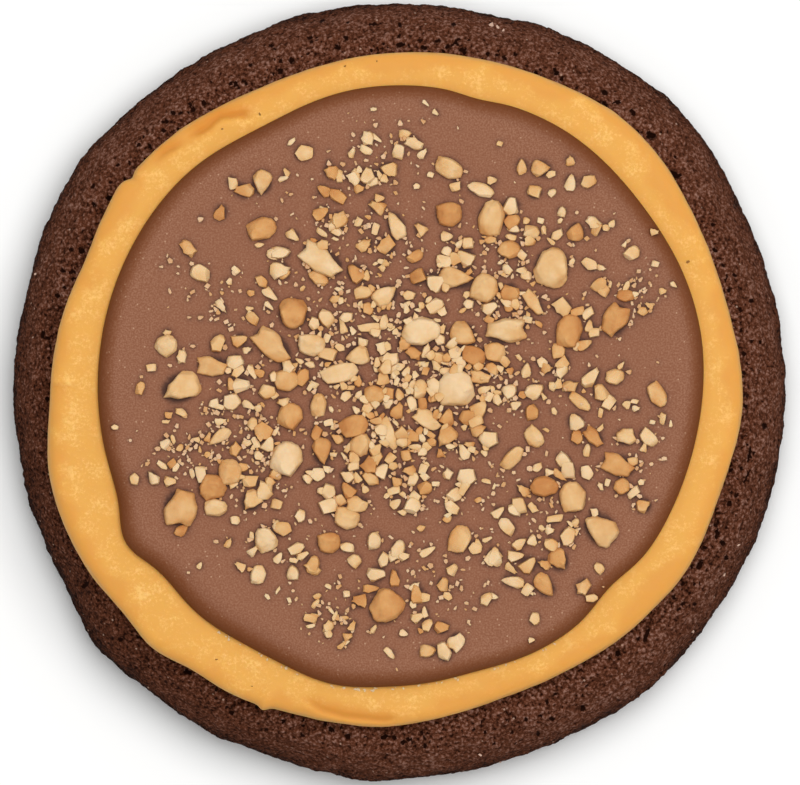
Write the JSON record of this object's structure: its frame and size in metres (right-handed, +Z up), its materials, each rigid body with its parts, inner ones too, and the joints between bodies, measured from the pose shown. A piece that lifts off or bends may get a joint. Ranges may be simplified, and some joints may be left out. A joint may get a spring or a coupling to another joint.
{
  "type": "peanut butter brownie cookie",
  "caption": "Thick round brownie cookie topped with a disc of peanut butter, a smaller disc of milk chocolate and strewn chopped peanuts; food prop that lies flat.",
  "frame": {"origin": "middle of the cookie's flat underside", "axes": "+Z up through the layers, +Y to the top of the picture and +X to its right"},
  "size_m": [0.1096, 0.11, 0.0279],
  "materials": {
    "baked_brownie": "dark baked crumb, rough and dull",
    "peanut_butter": "smooth satin spread",
    "milk_chocolate": "soft satin chocolate",
    "chopped_peanut": "dry roasted nut, dull"
  },
  "bodies": {
    "root": {"brownie_cookie": "baked_brownie", "peanut_butter": "peanut_butter", "milk_chocolate": "milk_chocolate"}
  },
  "joints": []
}
